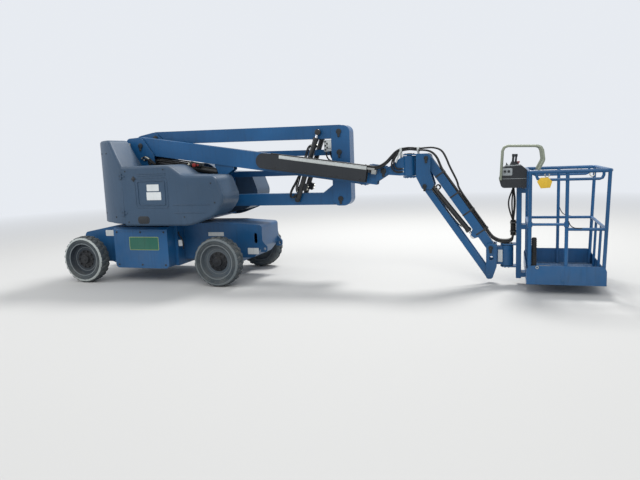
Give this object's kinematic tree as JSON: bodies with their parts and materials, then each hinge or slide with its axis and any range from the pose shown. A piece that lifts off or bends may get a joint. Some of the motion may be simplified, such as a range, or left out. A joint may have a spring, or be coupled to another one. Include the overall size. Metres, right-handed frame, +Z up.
{
  "type": "articulating boom lift",
  "caption": "Self-propelled articulating boom lift with a parallelogram riser, telescopic main boom, side-swinging jib and railed work platform, stowed for transport.",
  "frame": {"origin": "on the ground, in the middle of the machine's overall length and width", "axes": "+X forward to the platform, +Y to the machine's left, +Z up"},
  "size_m": [6.5809, 1.52, 1.9325],
  "materials": {
    "blue_paint": "weathered gloss paint",
    "grey_cover": "moulded satin",
    "dark_steel": "satin",
    "cast_weight": "painted casting",
    "pack_plastic": "satin",
    "black_plastic": "matt",
    "rod_chrome": "hard chrome",
    "rim_paint": "dusty paint",
    "grey_rubber": "dusty non-marking rubber"
  },
  "bodies": {
    "chassis": {"chassis_frame": "blue_paint", "chassis_side_boxes": "blue_paint", "rear_drive_hubs": "dark_steel", "slew_ring": "dark_steel"},
    "knuckle_right": {"knuckle_right": "blue_paint"},
    "knuckle_left": {"knuckle_left": "blue_paint"},
    "wheel_front_right": {"tyre_front_right": "grey_rubber", "rim_front_right": "rim_paint"},
    "wheel_front_left": {"tyre_front_left": "grey_rubber", "rim_front_left": "rim_paint"},
    "wheel_rear_right": {"tyre_rear_right": "grey_rubber", "rim_rear_right": "rim_paint"},
    "wheel_rear_left": {"tyre_rear_left": "grey_rubber", "rim_rear_left": "rim_paint"},
    "turntable": {"turntable_frame": "blue_paint", "counterweight": "cast_weight", "rear_covers": "grey_cover", "pod_bodies": "grey_cover", "power_packs": "pack_plastic"},
    "door_right": {"door_right": "grey_cover"},
    "door_left": {"door_left": "grey_cover"},
    "lower_arm": {"lower_arm": "blue_paint"},
    "lower_link": {"lower_link": "blue_paint"},
    "mid_pivot": {"mid_pivot": "blue_paint"},
    "upper_arm": {"upper_arm": "blue_paint"},
    "upper_link": {"upper_link": "blue_paint"},
    "upper_pivot": {"upper_pivot": "blue_paint"},
    "riser_barrels": {"riser_cylinder_barrels": "dark_steel"},
    "riser_rods": {"riser_cylinder_rods": "rod_chrome"},
    "boom": {"primary_boom": "blue_paint", "cable_tray": "black_plastic"},
    "extension": {"boom_extension": "blue_paint"},
    "primary_barrel": {"primary_cylinder_barrel": "dark_steel"},
    "primary_rod": {"primary_cylinder_rod": "rod_chrome"},
    "level_bracket": {"level_bracket": "blue_paint"},
    "jib_head": {"jib_head": "blue_paint"},
    "jib_tube": {"jib_tube": "blue_paint"},
    "jib_link": {"jib_link": "blue_paint"},
    "jib_foot": {"jib_foot": "blue_paint"},
    "jib_barrel": {"jib_cylinder_barrel": "dark_steel"},
    "jib_rod": {"jib_cylinder_rod": "rod_chrome"},
    "platform": {"platform_mast": "blue_paint", "platform_rails": "blue_paint", "platform_floor": "blue_paint", "control_box": "black_plastic", "control_guard": "dark_steel"},
    "entry_bar": {"entry_bar": "blue_paint"}
  },
  "joints": [
    {"name": "steer_right", "type": "hinge", "parent": "chassis", "child": "knuckle_right", "pos_m": [-1.0555, -0.5, 0.305], "axis": [0, 0, 1], "range_deg": [-40, 40]},
    {"name": "steer_left", "type": "hinge", "parent": "chassis", "child": "knuckle_left", "pos_m": [-1.0555, 0.5, 0.305], "axis": [0, 0, 1], "range_deg": [-40, 40]},
    {"name": "spin_front_right", "type": "hinge", "parent": "knuckle_right", "child": "wheel_front_right", "pos_m": [-1.0555, -0.655, 0.305], "axis": [0, 1, 0], "continuous": true},
    {"name": "spin_rear_right", "type": "hinge", "parent": "chassis", "child": "wheel_rear_right", "pos_m": [-2.9855, -0.655, 0.305], "axis": [0, 1, 0], "continuous": true},
    {"name": "spin_front_left", "type": "hinge", "parent": "knuckle_left", "child": "wheel_front_left", "pos_m": [-1.0555, 0.655, 0.305], "axis": [0, 1, 0], "continuous": true},
    {"name": "spin_rear_left", "type": "hinge", "parent": "chassis", "child": "wheel_rear_left", "pos_m": [-2.9855, 0.655, 0.305], "axis": [0, 1, 0], "continuous": true},
    {"name": "slew", "type": "hinge", "parent": "chassis", "child": "turntable", "pos_m": [-2.1855, 0, 0.765], "axis": [0, 0, 1], "range_deg": [-177.5, 177.5]},
    {"name": "door_right", "type": "hinge", "parent": "turntable", "child": "door_right", "pos_m": [-2.2825, -0.753, 1.1], "axis": [0, 0, -1], "range_deg": [0, 95]},
    {"name": "door_left", "type": "hinge", "parent": "turntable", "child": "door_left", "pos_m": [-2.2825, 0.753, 1.1], "axis": [0, 0, 1], "range_deg": [0, 95]},
    {"name": "riser_raise", "type": "hinge", "parent": "turntable", "child": "lower_arm", "pos_m": [-2.2655, 0, 0.99], "axis": [0, -1, 0], "range_deg": [0, 70]},
    {"name": "lower_link_turn", "type": "hinge", "parent": "turntable", "child": "lower_link", "pos_m": [-2.2655, 0, 1.324], "axis": [0, -1, 0], "range_deg": [0, 70]},
    {"name": "mid_pivot_turn", "type": "hinge", "parent": "lower_arm", "child": "mid_pivot", "pos_m": [0.3145, 0, 0.99], "axis": [0, 1, 0], "range_deg": [0, 70]},
    {"name": "upper_arm_turn", "type": "hinge", "parent": "mid_pivot", "child": "upper_arm", "pos_m": [0.3145, 0, 1.815], "axis": [0, 1, 0], "range_deg": [0, 70]},
    {"name": "upper_link_turn", "type": "hinge", "parent": "mid_pivot", "child": "upper_link", "pos_m": [0.3145, 0, 1.565], "axis": [0, 1, 0], "range_deg": [0, 70]},
    {"name": "upper_pivot_turn", "type": "hinge", "parent": "upper_arm", "child": "upper_pivot", "pos_m": [-2.2655, 0, 1.85], "axis": [0, -1, 0], "range_deg": [0, 70]},
    {"name": "riser_cylinder_turn", "type": "hinge", "parent": "lower_arm", "child": "riser_barrels", "pos_m": [-0.2455, 0, 0.99], "axis": [0, 1, 0], "range_deg": [0, 53.9]},
    {"name": "riser_cylinder_stroke", "type": "slide", "parent": "riser_barrels", "child": "riser_rods", "axis": [0.3405, 0, 0.9403], "range_m": [0, 0.71957]},
    {"name": "primary_raise", "type": "hinge", "parent": "upper_pivot", "child": "boom", "pos_m": [-2.3455, 0, 1.75], "axis": [0, -1, 0], "range_deg": [0, 80]},
    {"name": "primary_cylinder_turn", "type": "hinge", "parent": "upper_pivot", "child": "primary_barrel", "pos_m": [-2.2155, 0, 1.53], "axis": [0, -1, 0], "range_deg": [0, 80.04]},
    {"name": "primary_cylinder_stroke", "type": "slide", "parent": "primary_barrel", "child": "primary_rod", "axis": [0.9861, 0, -0.166], "range_m": [0, 0.32901]},
    {"name": "extend", "type": "slide", "parent": "boom", "child": "extension", "axis": [0.9882, 0, -0.153], "range_m": [0, 1.2]},
    {"name": "level_turn", "type": "hinge", "parent": "extension", "child": "level_bracket", "pos_m": [0.9045, 0, 1.325], "axis": [0, 1, 0], "range_deg": [0, 80]},
    {"name": "jib_slew", "type": "hinge", "parent": "level_bracket", "child": "jib_head", "pos_m": [1.1995, -0.09, 1.26], "axis": [0, 0, 1], "range_deg": [-90, 90]},
    {"name": "jib_raise", "type": "hinge", "parent": "jib_head", "child": "jib_tube", "pos_m": [1.4045, 0, 1.459], "axis": [0, -1, 0], "range_deg": [0, 125]},
    {"name": "jib_link_turn", "type": "hinge", "parent": "jib_head", "child": "jib_link", "pos_m": [1.3845, 0, 1.139], "axis": [0, -1, 0], "range_deg": [0, 125]},
    {"name": "jib_foot_turn", "type": "hinge", "parent": "jib_tube", "child": "jib_foot", "pos_m": [2.1145, 0, 0.43], "axis": [0, 1, 0], "range_deg": [0, 125]},
    {"name": "jib_cylinder_turn", "type": "hinge", "parent": "jib_head", "child": "jib_barrel", "pos_m": [1.4445, 0, 1.15], "axis": [0, -1, 0], "range_deg": [0, 123.53]},
    {"name": "jib_cylinder_stroke", "type": "slide", "parent": "jib_barrel", "child": "jib_rod", "axis": [0.6212, 0, -0.7837], "range_m": [0, 0.55264]},
    {"name": "platform_turn", "type": "hinge", "parent": "jib_foot", "child": "platform", "pos_m": [2.2895, -0.09, 0.225], "axis": [0, 0, 1], "range_deg": [-90, 90]},
    {"name": "entry_lift", "type": "slide", "parent": "platform", "child": "entry_bar", "axis": [0, 0, 1], "range_m": [0, 0.4]}
  ],
  "couplings": [
    {"joint": "steer_left", "follows": "steer_right", "ratio": 1},
    {"joint": "lower_link_turn", "follows": "riser_raise", "ratio": 1},
    {"joint": "mid_pivot_turn", "follows": "riser_raise", "ratio": 1},
    {"joint": "upper_arm_turn", "follows": "riser_raise", "ratio": 1},
    {"joint": "upper_link_turn", "follows": "riser_raise", "ratio": 1},
    {"joint": "upper_pivot_turn", "follows": "riser_raise", "ratio": 1},
    {"joint": "riser_cylinder_turn", "follows": "riser_raise", "ratio": 0.76985},
    {"joint": "riser_cylinder_stroke", "follows": "riser_raise", "m_per_rad": 0.58856},
    {"joint": "primary_cylinder_turn", "follows": "primary_raise", "ratio": 1.0004},
    {"joint": "primary_cylinder_stroke", "follows": "primary_raise", "m_per_rad": 0.23528},
    {"joint": "level_turn", "follows": "primary_raise", "ratio": 1},
    {"joint": "jib_link_turn", "follows": "jib_raise", "ratio": 1},
    {"joint": "jib_foot_turn", "follows": "jib_raise", "ratio": 1},
    {"joint": "jib_cylinder_turn", "follows": "jib_raise", "ratio": 0.98815},
    {"joint": "jib_cylinder_stroke", "follows": "jib_raise", "m_per_rad": 0.25308}
  ]
}
